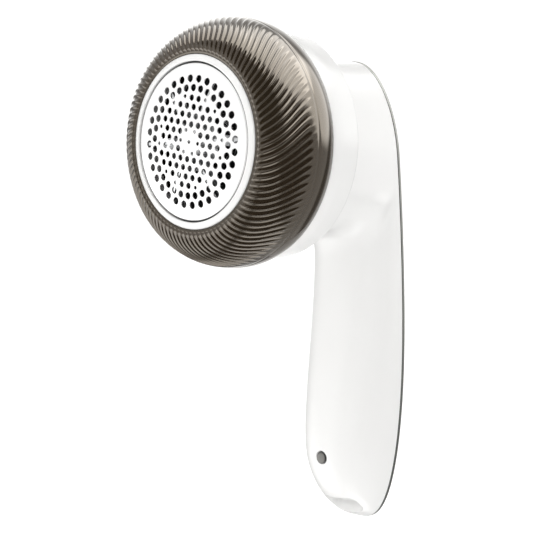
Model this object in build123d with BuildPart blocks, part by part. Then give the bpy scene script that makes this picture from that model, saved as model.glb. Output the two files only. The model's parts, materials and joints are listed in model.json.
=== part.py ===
from build123d import *
import math
import os

# Hand-held fabric shaver: a round cutting head carried in front of an upright handle.
#
# Frame: +Z runs up the handle, -Y is the side that shaves the cloth, +X is the right-hand
# side seen from the front. The origin lies on the cutter axis, in the plane of the foil
# ring's outer edge. All lengths are in millimetres and all angles in degrees.

# ---------------------------------------------------------------- driving dimensions
# Foil: a shallow perforated dome held by a white ring.
foil_apex = -1.9
foil_dome_radius = 204.0
foil_thickness = 0.3
foil_skirt_radius = 26.2
foil_skirt_end = 2.0
outer_ring_radius = 20.5
inner_ring_radius = 17.5
ring_hole_count = 32
outer_hole_radius = 1.25
inner_hole_radius = 1.2
lattice_pitch = 3.27
lattice_turn = 49.0
lattice_span = 5
lattice_inner_order = 1
lattice_outer_order = 21
lattice_hole_radius = 1.05
fine_hole_radius = 0.65
fine_hole_ring = 4.1

# Foil ring and its bayonet in the lint container's collar.
ring_radius = 28.4
ring_bevel = 0.3
ring_rim_end = 1.2
ring_lip_radius = 25.7
ring_lip_front = -0.75
ring_lip_back = -0.4
ring_crest_radius = 26.6
ring_crest = -0.78
ring_shoulder = -0.2
ring_shelf_radius = 25.8
ring_shelf_back = 3.0
ring_skirt_radius = 28.2
ring_skirt_inner = 26.9
ring_skirt_end = 9.0
bayonet_turn = 25.0
lug_half_angle = 5.0
lug_radius = 29.3
lug_front = 6.0
lug_back = 7.8
lug_count = 3
lug_root = 27.5
lug_gap = 0.3

# Lint container: a bulged ring, widest at bulge_y.
collar_inner = 28.6
collar_outer = 30.2
collar_end = 12.0
lip_inner_front = 0.25
lip_radius = 29.9
bulge_radius = 41.5
bulge_y = 18.0
container_wall = 1.8
container_back = 25.0
container_seat_radius = 37.25
container_seat_front = 21.8
rear_curve_length = 9.0
rear_curve_height = 6.8

# Head housing: a shallow drum between the container and the handle.
drum_radius = 38.8
drum_front = 25.15
drum_back = 38.0
drum_wall = 1.8
drum_rear_radius = 37.3
drum_bend_radius = 38.15
drum_bend_y = 37.7
drum_widest_y = 30.0
drum_bend_start = 36.8
spigot_radius = 36.5
spigot_inner = 35.2
spigot_front = 22.6
ledge_inner = 33.8
ledge_thickness = 1.5
plate_front = 24.0
plate_back = 26.0
post_radius = 2.6
post_ring = 30.0
pilot_radius = 0.95
neck_hole_radius = 1.3
seal_front = 23.0
seal_back = 24.4

# Motor, on the cutter axis.
motor_front = 28.0
motor_back = 53.5
motor_radius = 12.0
motor_wall = 0.8
motor_hole_radius = 13.2
shaft_radius = 1.15
shaft_front = 9.0
shaft_back = 55.0
bush_radius = 3.0
running_gap = 0.05
slip_gap = 0.03
magnet_inner = 9.5
magnet_front = 31.0
magnet_back = 50.5
magnet_sweep = 130
rear_bush_radius = 2.4
terminal_x = 7.0
brush_reach = 6.5
brush_front = 48.3
brush_back = 50.6
core_radius = 9.1
core_front = 33.0
core_back = 46.0
core_hub_radius = 3.6
tooth_middle = 4.5
tooth_length = 6.0
tooth_width = 4.0
pole_inner = 7.0
pole_half_angle = 50
winding_middle = 5.4
winding_depth = 2.7
winding_width = 7.0
winding_radius = 6.9
commutator_radius = 3.0
commutator_front = 47.5
commutator_back = 51.0
grommet_front = 35.4
grommet_back = 40.6

# Cutter and fan.
blade_count = 6
blade_radius = 24.3
blade_thickness = 1.0
blade_clearance = 0.15
blade_seat = 3.2
spoke_width = 3.4
spoke_thickness = 0.8
spider_radius = 9.5
blade_root = 5.0
pin_radius = 2.4
pin_front = 1.2
washer_front = 1.4
washer_back = 2.35
washer_radius = 4.4
hub_radius = 5.4
hub_back = 13.2
hub_flange_radius = 8.4
hub_flange_front = 6.8
hub_flange_back = 8.0
drive_flats = 6.0
drive_gap = 0.1
drive_front = 8.4
socket_front = 6.5
spring_radius = 6.9
spring_wire = 0.4
spring_turns = 4
spring_end_gap = 0.05
fan_front = 14.5
fan_back = 22.7
fan_radius = 24.0
fan_vane_count = 9
fan_hub_radius = 4.8
fan_disc = 1.2
vane_front = 16.2
vane_middle = 14.0
vane_length = 19.0
vane_thickness = 1.2
vane_slant = 18

# Handle: half width, back bow, depth and end rounding.
grip_half = 18.0
arch_height = 34.0
handle_top = 29.5
handle_bottom = -131.4
taper_length = 89.0
taper_power = 3.0
back_y = 82.8
bow_radius = 820.0
bow_z = -57.4
behind_y = 88.0
slim_depth = 17.3
belly_gain = 6.0
belly_start = -35.0
belly_length = 70.0
heel_length = 26.0
heel_power = 1.7
heel_flat = 1.0
grip_top = -22.0
round_power = 2.2
square_power = 2.72
square_start = -40.0
square_length = 60.0
shell_wall = 1.8
neck_front_half = 16.6
neck_front_arch = 32.2
neck_bottom = -30.0
neck_corner = 13.0
neck_front_wall = 2.0

# Trim band and back cover.
trim_thickness = 1.5
trim_width = 2.4
cover_gap = 0.1
cover_proud = 0.4
cover_boss_depth = 3.0
cover_boss_radius = 2.5
cover_pilot_end = 69.0
cover_boss_short = 10.0
cover_boss_long = 20.0
neck_boss_radius = 2.4
neck_boss_length = 9.0

# Indicator lens and charging socket.
lens_z = -108.8
lens_radius = 2.2
lens_front = 58.25
lens_back = 60.4
lens_flange_radius = 2.9
lens_flange_back = 61.0
socket_tilt = 56.2
socket_y = 69.3
socket_z = -125.8
pocket_width = 14.0
pocket_height = 8.0
pocket_depth = 3.2
socket_width = 9.0
socket_height = 3.2
socket_length = 7.3
socket_rim = 0.35
socket_floor = 0.8
tongue_width = 6.6
tongue_height = 0.7

# Power slide on the back cover.
slide_z = -40.0
slide_travel = 4.0
knob_width = 11.0
knob_length = 16.0
knob_front = 82.3
knob_back = 84.2
recess_gap = 0.7
recess_end_gap = 0.8
slide_slot_half = 2.7
slide_slot_end = 4.0
slider_half = 1.3
stem_half = 2.4
stem_length_half = 3.5
stem_front = 81.1
grip_rib_half = 3.5
grip_rib_rise = 0.5
grip_ribs = (-4.0, -1.5, 1.0, 3.5)
slider_front = 78.6
switch_half = 3.3
switch_front = 75.4
switch_back = 80.8
switch_length_half = 7.0

# Battery, board and screws.
cell_radius = 7.0
cell_length = 48.5
cell_cap_radius = 2.8
tab_size = (5.0, 8.0)
cradle_radius = 9.3
cradle_width = 7.0
cradle_length = 32.0
cradle_foot = -1.7
cell_foot = (0.0, 71.6, -108.0)
cell_lean = (0.0, 2.0, 48.5)
board_front = 63.2
board_thickness = 1.0
board_half = 7.0
board_bottom = -113.0
board_top = -88.0
board_hole_radius = 1.1
main_chip = (6.0, 1.1, 5.0)
main_chip_z = -99.0
small_chip = (2.0, 0.8, 1.2)
small_chip_x = 4.6
small_chip_z = -103.4
solder_gap = 0.01
led_radius = 1.5
led_base_radius = 1.8
led_gap = 0.3
cover_screw_places = [(-10.4, 6.0), (10.4, 6.0), (-12.1, -66.0), (12.1, -66.0)]
neck_screw_places = [(-8.0, 19.5), (8.0, 19.5), (-10.5, -20.5), (10.5, -20.5)]
motor_screw_places = [(-8.5, 0.0), (8.5, 0.0)]
wire_radius = 0.6
lead_x = 2.0
lead_radius = 0.5
centre = [(0.0, 0.0)]


# ---------------------------------------------------------------- shared shapes
def across(y):
    """A plane square to the cutter axis at depth y; its local axes are X and Z."""
    return Plane.XZ.offset(-y)


def round_bar(front, back, radius, places=centre, mode=Mode.ADD):
    """Round bars along the cutter axis, one at each (x, z) place."""
    with BuildSketch(across(back)) as face:
        with Locations(*places):
            Circle(radius)
    extrude(face.sketch, amount=back - front, mode=mode)


def tube(front, back, outer, inner, mode=Mode.ADD):
    """A round sleeve on the cutter axis."""
    with BuildSketch(across(back)) as face:
        Circle(outer)
        Circle(inner, mode=Mode.SUBTRACT)
    extrude(face.sketch, amount=back - front, mode=mode)


def sector(front, back, inner, outer, start, sweep, mode=Mode.ADD):
    """A slice of a sleeve on the cutter axis, from start through sweep degrees."""
    with BuildSketch(across(back)) as face:
        with BuildLine():
            outside = CenterArc((0, 0), outer, start, sweep)
            inside = CenterArc((0, 0), inner, start, sweep)
            Line(outside @ 0, inside @ 0)
            Line(outside @ 1, inside @ 1)
        make_face()
    extrude(face.sketch, amount=back - front, mode=mode)


def block(low, high, mode=Mode.ADD):
    """A box between two corners."""
    size = [b - a for a, b in zip(low, high)]
    middle = [(a + b) / 2 for a, b in zip(low, high)]
    with Locations(tuple(middle)):
        Box(*size, mode=mode)


def bow_side(depth, mode):
    """Everything in front of the handle's curved back, drawn in by depth."""
    top = handle_top + 10
    bottom = handle_bottom - 10
    with BuildSketch(Plane.YZ) as side:
        with BuildLine():
            ThreePointArc(
                (back_at(bottom) - depth, bottom), (back_y - depth, bow_z), (back_at(top) - depth, top)
            )
            Polyline((back_at(top) - depth, top), (20, top), (20, bottom), (back_at(bottom) - depth, bottom))
        make_face()
    extrude(side.sketch, amount=2 * grip_half, both=True, mode=mode)


def screws(head_front, head_back, head_radius, tip, shank_radius, places):
    """Cross-headed screws that point along +Y."""
    round_bar(head_front, head_back, head_radius, places)
    round_bar(head_back, tip, shank_radius, places)
    slot = head_radius * 0.6
    for x, z in places:
        block((x - slot, head_front - 1, z - 0.2), (x + slot, head_front + 0.5, z + 0.2), Mode.SUBTRACT)
        block((x - 0.2, head_front - 1, z - slot), (x + 0.2, head_front + 0.5, z + slot), Mode.SUBTRACT)


def finish(piece, name):
    piece.part.label = name
    export_step(piece.part, f"parts/{name}.step")


def smooth(t):
    t = min(max(t, 0.0), 1.0)
    return t * t * (3 - 2 * t)


def back_at(z):
    """Depth of the handle's back at height z."""
    return back_y - bow_radius + math.sqrt(bow_radius**2 - (z - bow_z) ** 2)


def half_width_at(z):
    """Half width of the grip: constant, then drawn in to a rounded lower end."""
    t = min(max((handle_bottom + taper_length - z) / taper_length, 0.0), 1.0)
    return grip_half * (1 - t**taper_power) ** (1 / taper_power)


def depth_at(z):
    """Front-to-back depth of the grip: slim above, a belly below, rounded at the heel."""
    belly = slim_depth + belly_gain * smooth((belly_start - z) / belly_length)
    t = min(max((handle_bottom + heel_length - z) / heel_length, 0.0), 1.0)
    return belly * (1 - t**heel_power) ** (1 / heel_power)


def power_at(z):
    """Section exponent: nearly elliptical above, squarer towards the heel."""
    t = min(max((square_start - z) / square_length, 0.0), 1.0)
    return round_power + (square_power - round_power) * t


def grip_section(z, inset):
    """Closed D-shaped section of the grip at height z, drawn in by inset at sides and front."""
    half = half_width_at(z) - inset
    depth = depth_at(z) - inset
    power = 2 / power_at(z)
    steps = 7
    front = []
    for step in range(-steps, steps + 1):
        angle = math.pi / 2 * step / steps
        x = math.copysign(abs(math.sin(angle)) ** power, angle) * half
        front.append((x, back_at(z) - depth * abs(math.cos(angle)) ** power))
    with BuildSketch(Plane.XY.offset(z)) as section:
        with BuildLine():
            Spline(*front, tangents=[(0, -1), (0, 1)])
            Polyline(front[-1], (half, behind_y), (-half, behind_y), front[0])
        make_face()
    return section.sketch


def grip_levels(inset):
    """Section heights, closer together towards the rounded heel."""
    low = handle_bottom + heel_flat + inset
    count = 13
    return [low + (grip_top - low) * (step / count) ** 1.5 for step in range(count + 1)]


def neck_section(y, half, arch, inset):
    """Arched section of the neck at depth y."""
    side = half - inset
    foot = neck_bottom + inset
    corner = neck_corner - inset
    spring_z = handle_top - arch_height
    with BuildSketch(across(y)) as section:
        with BuildLine():
            EllipticalCenterArc((0, spring_z), side, arch - inset, 0, arc_size=180)
            Line((-side, spring_z), (-side, foot + corner))
            CenterArc((corner - side, foot + corner), corner, 180, 90)
            Line((corner - side, foot), (side - corner, foot))
            CenterArc((side - corner, foot + corner), corner, 270, 90)
            Line((side, foot + corner), (side, spring_z))
        make_face()
    return section.sketch


def heel_points(inset):
    """Points of the heel's outline, drawn in by inset along its normals."""
    taper_z = handle_bottom + taper_length
    steps = 12
    points = []
    for step in range(-steps, steps + 1):
        angle = math.pi / 2 * step / steps
        side = abs(math.sin(angle)) ** (2 / taper_power)
        drop = abs(math.cos(angle)) ** (2 / taper_power)
        slope_x = side ** (taper_power - 1) / grip_half
        slope_z = drop ** (taper_power - 1) / taper_length
        length = math.hypot(slope_x, slope_z)
        x = side * grip_half - inset * slope_x / length
        z = taper_z - drop * taper_length + inset * slope_z / length
        points.append((math.copysign(x, angle), z))
    return points


def back_outline(y, inset):
    """Outline of the handle's back, drawn in by inset."""
    spring_z = handle_top - arch_height
    side = grip_half - inset
    heel = heel_points(inset)
    with BuildSketch(across(y)) as outline:
        with BuildLine():
            EllipticalCenterArc((0, spring_z), side, arch_height - inset, 0, arc_size=180)
            Line((-side, spring_z), heel[0])
            Spline(*heel, tangents=[(0, -1), (0, 1)])
            Line(heel[-1], (side, spring_z))
        make_face()
    return outline.sketch


def socket_plane(depth):
    """Plane of the charging pocket, depth mm inward from the heel's surface."""
    inward = (0, math.cos(math.radians(socket_tilt)), math.sin(math.radians(socket_tilt)))
    origin = (0, socket_y + inward[1] * depth, socket_z + inward[2] * depth)
    return Plane(origin=origin, x_dir=(1, 0, 0), z_dir=inward)


def socket_block(start, end, width, height, mode=Mode.ADD):
    """A rectangular block square to the charging pocket."""
    with BuildSketch(socket_plane(start)) as face:
        Rectangle(width, height)
    extrude(face.sketch, amount=end - start, mode=mode)


def wire(path_points, radius):
    """A round wire through the given points."""
    with BuildLine() as path:
        Spline(*path_points)
    start = path.line @ 0
    with BuildSketch(Plane(origin=start, z_dir=path.line % 0)) as face:
        Circle(radius)
    sweep(face.sketch, path=path.line)


os.makedirs("parts", exist_ok=True)

# ---------------------------------------------------------------- foil and its ring
dome_centre = (0, foil_apex + foil_dome_radius, 0)

with BuildPart() as foil_core:
    round_bar(foil_apex - 1, foil_skirt_end, foil_skirt_radius - foil_thickness)
    with Locations(dome_centre):
        Sphere(foil_dome_radius - foil_thickness, mode=Mode.INTERSECT)

fine_places = [(0.0, 0.0)]
lattice_places = []
for i in range(-lattice_span, lattice_span + 1):
    for j in range(-lattice_span, lattice_span + 1):
        order = i * i + i * j + j * j
        reach = lattice_pitch * math.sqrt(order)
        angle = math.atan2(j * math.sqrt(0.75), i + j / 2) + math.radians(lattice_turn)
        if order == lattice_inner_order:
            fine_places.append((fine_hole_ring * math.cos(angle), fine_hole_ring * math.sin(angle)))
        elif order == lattice_outer_order:
            fine_places.append((reach * math.cos(angle), reach * math.sin(angle)))
        elif lattice_inner_order < order < lattice_outer_order:
            lattice_places.append((reach * math.cos(angle), reach * math.sin(angle)))

with BuildPart() as foil:
    round_bar(foil_apex - 1, foil_skirt_end, foil_skirt_radius)
    with Locations(dome_centre):
        Sphere(foil_dome_radius, mode=Mode.INTERSECT)
    add(foil_core.part, mode=Mode.SUBTRACT)
    with BuildSketch(across(foil_skirt_end)):
        with PolarLocations(outer_ring_radius, ring_hole_count):
            Circle(outer_hole_radius)
        with PolarLocations(inner_ring_radius, ring_hole_count, start_angle=180 / ring_hole_count):
            Circle(inner_hole_radius)
        with Locations(*lattice_places):
            Circle(lattice_hole_radius)
        with Locations(*fine_places):
            Circle(fine_hole_radius)
    extrude(amount=foil_skirt_end - foil_apex + 1, mode=Mode.SUBTRACT)
finish(foil, "foil")

with BuildPart() as foil_ring:
    with BuildSketch(Plane.XY):
        with BuildLine():
            Polyline(
                (ring_lip_radius, ring_lip_front),
                (ring_crest_radius, ring_crest),
                (ring_radius - ring_bevel, ring_shoulder),
                (ring_radius, ring_shoulder + ring_bevel),
                (ring_radius, ring_rim_end),
                (ring_skirt_radius, ring_rim_end + (ring_radius - ring_skirt_radius)),
                (ring_skirt_radius, ring_skirt_end),
                (ring_skirt_inner, ring_skirt_end),
                (ring_skirt_inner, ring_shelf_back + 0.4),
                (ring_shelf_radius, ring_shelf_back),
                (ring_shelf_radius, foil_skirt_end + 0.1),
                (foil_skirt_radius + slip_gap, foil_skirt_end + 0.1),
                (foil_skirt_radius + slip_gap, ring_lip_back + 0.1),
                (ring_lip_radius, ring_lip_back),
                close=True,
            )
        make_face()
    revolve(axis=Axis.Y)
    for index in range(lug_count):
        middle = 90 + index * 360 / lug_count
        sector(lug_front, lug_back, lug_root, lug_radius, middle - lug_half_angle, 2 * lug_half_angle)
finish(foil_ring, "foil_ring")

# ---------------------------------------------------------------- lint container
with BuildPart() as lint_container:
    with BuildSketch(Plane.XY):
        with BuildLine():
            Line((collar_inner, lip_inner_front), (lip_radius, 0))
            EllipticalCenterArc((lip_radius, bulge_y), bulge_radius - lip_radius, bulge_y, 270, arc_size=90)
            rear = math.degrees(math.asin((container_back - bulge_y) / rear_curve_length))
            rear_centre = (bulge_radius - rear_curve_height, bulge_y)
            EllipticalCenterArc(rear_centre, rear_curve_height, rear_curve_length, 0, arc_size=rear)
            edge = (
                bulge_radius - rear_curve_height * (1 - math.cos(math.radians(rear))),
                container_back,
            )
            inner_bulge = bulge_radius - container_wall
            Polyline(
                edge,
                (container_seat_radius, container_back),
                (container_seat_radius, container_seat_front),
                (inner_bulge, bulge_y),
            )
            EllipticalCenterArc(
                (collar_outer, bulge_y), inner_bulge - collar_outer, bulge_y - container_wall, 270, arc_size=90
            )
            Polyline(
                (collar_outer, container_wall),
                (collar_outer, collar_end),
                (collar_inner, collar_end),
                (collar_inner, lip_inner_front),
            )
        make_face()
    revolve(axis=Axis.Y)
    slot_start = lug_half_angle + 1
    for index in range(lug_count):
        middle = 90 + index * 360 / lug_count
        sector(
            lug_front - lug_gap, lug_back + lug_gap, ring_skirt_radius, lug_radius + lug_gap,
            middle - slot_start, bayonet_turn + 2 * slot_start, Mode.SUBTRACT,
        )
        sector(
            lug_front - lug_gap, collar_end + 1, ring_skirt_radius, lug_radius + lug_gap,
            middle + bayonet_turn - slot_start, 2 * slot_start, Mode.SUBTRACT,
        )
finish(lint_container, "lint_container")

# ---------------------------------------------------------------- cutter
with BuildPart() as cutter_blades:
    with BuildSketch(across(blade_seat)):
        with PolarLocations(blade_radius / 2, blade_count):
            Rectangle(blade_radius, spoke_width)
        Circle(blade_radius, mode=Mode.INTERSECT)
        Circle(spider_radius)
    extrude(amount=spoke_thickness)
    with BuildSketch(across(blade_seat)):
        with PolarLocations((blade_radius + blade_root) / 2, blade_count):
            Rectangle(blade_radius - blade_root, blade_thickness)
        Circle(blade_radius, mode=Mode.INTERSECT)
    extrude(amount=blade_seat - foil_apex)
    with Locations(dome_centre):
        Sphere(foil_dome_radius - foil_thickness - blade_clearance, mode=Mode.INTERSECT)
    round_bar(foil_apex, blade_seat + 1, pin_radius + slip_gap, mode=Mode.SUBTRACT)
finish(cutter_blades, "cutter_blades")

with BuildPart() as cutter_hub:
    round_bar(pin_front, blade_seat, pin_radius)
    round_bar(blade_seat, hub_back, hub_radius)
    round_bar(hub_flange_front, hub_flange_back, hub_flange_radius)
    with BuildSketch(across(hub_back)):
        RegularPolygon(drive_flats / 2 + drive_gap, 6, major_radius=False)
    extrude(amount=hub_back - socket_front, mode=Mode.SUBTRACT)
finish(cutter_hub, "cutter_hub")

with BuildPart() as blade_washer:
    tube(washer_front, washer_back, washer_radius, pin_radius + slip_gap)
finish(blade_washer, "blade_washer")

spring_length = fan_front - hub_flange_back - 2 * (spring_wire + spring_end_gap)
with BuildPart() as cutter_spring:
    with BuildLine() as coil:
        Helix(
            pitch=spring_length / spring_turns,
            height=spring_length,
            radius=spring_radius,
            center=(0, hub_flange_back + spring_wire + spring_end_gap, 0),
            direction=(0, 1, 0),
        )
    with BuildSketch(Plane(origin=coil.line @ 0, z_dir=coil.line % 0)):
        Circle(spring_wire)
    sweep(path=coil.line)
finish(cutter_spring, "cutter_spring")

# ---------------------------------------------------------------- lint fan
with BuildPart() as impeller:
    round_bar(fan_front, fan_back, fan_hub_radius)
    round_bar(fan_back - fan_disc, fan_back, fan_radius)
    with BuildSketch(across(fan_back - fan_disc / 2)):
        with PolarLocations(vane_middle, fan_vane_count):
            with Locations(Location((0, 0), vane_slant)):
                Rectangle(vane_length, vane_thickness)
        Circle(fan_radius, mode=Mode.INTERSECT)
        Circle(fan_hub_radius - 0.4, mode=Mode.SUBTRACT)
    extrude(amount=fan_back - fan_disc / 2 - vane_front)
    with BuildSketch(across(fan_front + 1)):
        RegularPolygon(drive_flats / 2, 6, major_radius=False)
    extrude(amount=fan_front + 1 - drive_front)
    round_bar(drive_front - 1, fan_back + 1, shaft_radius + slip_gap, mode=Mode.SUBTRACT)
finish(impeller, "impeller")

# ---------------------------------------------------------------- head housing
post_places = [
    (post_ring * math.cos(math.radians(a)), post_ring * math.sin(math.radians(a))) for a in (90, 210, 330)
]

with BuildPart() as head_housing:
    with BuildSketch(Plane.XY):
        with BuildLine():
            rim = Line((spigot_radius, drum_front), (drum_radius - 0.1, drum_front))
            bend = (drum_radius - 0.25, drum_bend_start)
            ThreePointArc(rim @ 1, (drum_radius, drum_widest_y), bend)
            ThreePointArc(bend, (drum_bend_radius, drum_bend_y), (drum_rear_radius, drum_back))
            Polyline(
                (drum_rear_radius, drum_back),
                (motor_hole_radius, drum_back),
                (motor_hole_radius, drum_back - drum_wall),
                (drum_radius - drum_wall, drum_back - drum_wall),
                (drum_radius - drum_wall, plate_back + ledge_thickness),
                (ledge_inner, plate_back + ledge_thickness),
                (ledge_inner, plate_back),
                (spigot_inner, plate_back),
                (spigot_inner, spigot_front),
                (spigot_radius, spigot_front),
                (spigot_radius, drum_front),
            )
        make_face()
    revolve(axis=Axis.Y)
    round_bar(plate_back, drum_back - 1, post_radius, post_places)
    round_bar(plate_back - 1, plate_back + 6, pilot_radius, post_places, Mode.SUBTRACT)
    round_bar(drum_back - drum_wall - 1, drum_back + 1, neck_hole_radius, neck_screw_places, Mode.SUBTRACT)
finish(head_housing, "head_housing")

with BuildPart() as container_seal:
    tube(seal_front, seal_back, container_seat_radius - running_gap, spigot_radius + slip_gap)
    fillet(container_seal.edges().filter_by(GeomType.CIRCLE), 0.25)
finish(container_seal, "container_seal")

with BuildPart() as chamber_plate:
    round_bar(plate_front, plate_back, spigot_inner - 0.1)
    round_bar(plate_back, motor_front, motor_radius)
    round_bar(plate_front - 1, motor_front + 1, bush_radius + 0.3, mode=Mode.SUBTRACT)
    round_bar(plate_front - 1, motor_front + 1, 1.15, motor_screw_places, Mode.SUBTRACT)
    round_bar(plate_front - 1, plate_front + 1, 2.1, motor_screw_places, Mode.SUBTRACT)
    round_bar(plate_front - 1, motor_front + 1, 1.4, post_places, Mode.SUBTRACT)
    round_bar(plate_front - 1, plate_front + 1, 2.3, post_places, Mode.SUBTRACT)
finish(chamber_plate, "chamber_plate")

with BuildPart() as plate_screws:
    screws(plate_front + 0.1, plate_front + 1, 2.0, plate_back + 5, 0.9, post_places)
finish(plate_screws, "plate_screws")

# ---------------------------------------------------------------- motor
with BuildPart() as motor_can:
    tube(motor_front, motor_back, motor_radius, motor_radius - motor_wall)
    tube(motor_front, motor_front + motor_wall, motor_radius - 0.2, bush_radius + slip_gap)
    round_bar(motor_front - 1, motor_front + 2, 1.05, motor_screw_places, Mode.SUBTRACT)
finish(motor_can, "motor_can")

with BuildPart() as motor_screws:
    screws(plate_front + 0.1, plate_front + 1, 1.9, motor_front + 1.6, 1.0, motor_screw_places)
finish(motor_screws, "motor_screws")

with BuildPart() as motor_bushes:
    tube(motor_front - 1.4, motor_front + 2.2, bush_radius, shaft_radius + running_gap)
    tube(motor_back - 1.5, motor_back + 1.3, rear_bush_radius, shaft_radius + running_gap)
finish(motor_bushes, "motor_bushes")

with BuildPart() as motor_magnets:
    for middle in (0, 180):
        magnet_outer = motor_radius - motor_wall - slip_gap
        sector(magnet_front, magnet_back, magnet_inner, magnet_outer, middle - magnet_sweep / 2, magnet_sweep)
finish(motor_magnets, "motor_magnets")

with BuildPart() as motor_end_cap:
    round_bar(motor_back - 2, motor_back, motor_radius - motor_wall - slip_gap)
    round_bar(motor_back, motor_back + 1.5, 4.2)
    round_bar(motor_back - 3, motor_back + 2, rear_bush_radius + slip_gap, mode=Mode.SUBTRACT)
    for side in (-1, 1):
        middle = side * terminal_x
        block((middle - 0.35, motor_back - 3, -1.6), (middle + 0.35, motor_back + 1, 1.6), Mode.SUBTRACT)
finish(motor_end_cap, "motor_end_cap")

with BuildPart() as motor_terminals:
    for side in (-1, 1):
        middle = side * terminal_x
        block((middle - 0.3, motor_back - 2.4, -1.5), (middle + 0.3, motor_back + 4.2, 1.5))
finish(motor_terminals, "motor_terminals")

with BuildPart() as motor_brushes:
    for side in (-1, 1):
        near = commutator_radius + running_gap
        ends = sorted((side * near, side * brush_reach))
        block((ends[0], brush_front, -1.2), (ends[1], brush_back, 1.2))
finish(motor_brushes, "motor_brushes")

with BuildPart() as motor_shaft:
    round_bar(shaft_front, shaft_back, shaft_radius)
    chamfer(motor_shaft.edges().filter_by(GeomType.CIRCLE), 0.25)
finish(motor_shaft, "motor_shaft")

with BuildPart() as armature_core:
    round_bar(core_front, core_back, core_hub_radius)
    with BuildSketch(across(core_back)):
        with PolarLocations(tooth_middle, 3, start_angle=90):
            Rectangle(tooth_length, tooth_width)
    extrude(amount=core_back - core_front)
    for middle in (90, 210, 330):
        sector(core_front, core_back, pole_inner, core_radius, middle - pole_half_angle, 2 * pole_half_angle)
    round_bar(core_front - 1, core_back + 1, shaft_radius + slip_gap, mode=Mode.SUBTRACT)
finish(armature_core, "armature_core")

with BuildPart() as armature_windings:
    with BuildSketch(across(core_back + 1)):
        with PolarLocations(winding_middle, 3, start_angle=90):
            Rectangle(winding_depth, winding_width)
        Circle(winding_radius, mode=Mode.INTERSECT)
    extrude(amount=core_back - core_front + 2)
    with BuildSketch(across(core_back + 0.05)):
        with PolarLocations(winding_middle, 3, start_angle=90):
            Rectangle(tooth_width, tooth_width + 0.1)
    extrude(amount=core_back - core_front + 0.1, mode=Mode.SUBTRACT)
finish(armature_windings, "armature_windings")

with BuildPart() as commutator:
    tube(commutator_front, commutator_back, commutator_radius, shaft_radius + slip_gap)
finish(commutator, "commutator")

with BuildPart() as motor_grommet:
    tube(grommet_front, grommet_back, motor_hole_radius - 0.1, motor_radius + slip_gap)
finish(motor_grommet, "motor_grommet")

# ---------------------------------------------------------------- handle
with BuildPart() as handle_form:
    loft([grip_section(z, 0) for z in grip_levels(0)], ruled=True)
    loft([
        neck_section(drum_back, neck_front_half, neck_front_arch, 0),
        neck_section(behind_y, grip_half, arch_height, 0),
    ])
    bow_side(0, Mode.INTERSECT)

with BuildPart() as handle_cavity:
    loft([grip_section(z, shell_wall) for z in grip_levels(shell_wall)], ruled=True)
    loft([
        neck_section(drum_back + neck_front_wall, neck_front_half, neck_front_arch, shell_wall),
        neck_section(behind_y, grip_half, arch_height, shell_wall),
    ])
    socket_block(-3, pocket_depth + 2, pocket_width + 4, pocket_height + 4, Mode.SUBTRACT)

with BuildPart() as handle_front_shell:
    add(handle_form.part)
    add(handle_cavity.part, mode=Mode.SUBTRACT)
    for x, z in cover_screw_places:
        boss_end = back_at(z) - cover_boss_depth
        boss_start = boss_end - (cover_boss_long if z > neck_bottom else cover_boss_short)
        round_bar(boss_start, boss_end, cover_boss_radius, [(x, z)])
        block((min(x, 1.45 * x), boss_start, z - 0.8), (max(x, 1.45 * x), boss_end, z + 0.8))
    round_bar(drum_back + 1, drum_back + neck_boss_length, neck_boss_radius, neck_screw_places)
    bow_side(trim_thickness, Mode.INTERSECT)
    round_bar(cover_pilot_end, behind_y, pilot_radius, cover_screw_places, Mode.SUBTRACT)
    round_bar(drum_back - 1, drum_back + 8, pilot_radius, neck_screw_places, Mode.SUBTRACT)
    round_bar(drum_back - 1, drum_back + neck_front_wall + 1, motor_hole_radius, mode=Mode.SUBTRACT)
    round_bar(lens_front - 8, lens_back + 4, lens_radius + slip_gap, [(0, lens_z)], Mode.SUBTRACT)
    flange_bore = lens_flange_radius + slip_gap
    round_bar(lens_back - 0.02, lens_flange_back + 5, flange_bore, [(0, lens_z)], Mode.SUBTRACT)
    socket_block(-6, pocket_depth, pocket_width, pocket_height, Mode.SUBTRACT)
    socket_block(0, 12, socket_width + 0.1, socket_height + 0.1, Mode.SUBTRACT)
finish(handle_front_shell, "handle_front_shell")

with BuildPart() as trim_band:
    add(handle_form.part)
    bow_side(trim_thickness, Mode.SUBTRACT)
    extrude(back_outline(behind_y + 2, trim_width), amount=40, mode=Mode.SUBTRACT)
finish(trim_band, "trim_band")

with BuildPart() as back_cover:
    extrude(back_outline(behind_y + 2, trim_width + cover_gap), amount=30)
    bow_side(-cover_proud, Mode.INTERSECT)
    bow_side(trim_thickness, Mode.SUBTRACT)
    recess_floor = knob_front - 0.3
    block(
        (-knob_width / 2 - recess_gap, recess_floor, slide_z - knob_length / 2 - recess_end_gap),
        (knob_width / 2 + recess_gap, behind_y, slide_z + knob_length / 2 + slide_travel + recess_end_gap),
        Mode.SUBTRACT,
    )
    block(
        (-slide_slot_half, switch_front, slide_z - slide_slot_end),
        (slide_slot_half, behind_y, slide_z + slide_travel + slide_slot_end),
        Mode.SUBTRACT,
    )
    for x, z in cover_screw_places:
        round_bar(back_at(z) - cover_boss_depth, back_at(z) - 1, 2.6, [(x, z)])
        round_bar(70, 90, 1.3, [(x, z)], Mode.SUBTRACT)
        round_bar(back_at(z) - 1.6, 90, 2.4, [(x, z)], Mode.SUBTRACT)
finish(back_cover, "back_cover")

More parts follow.
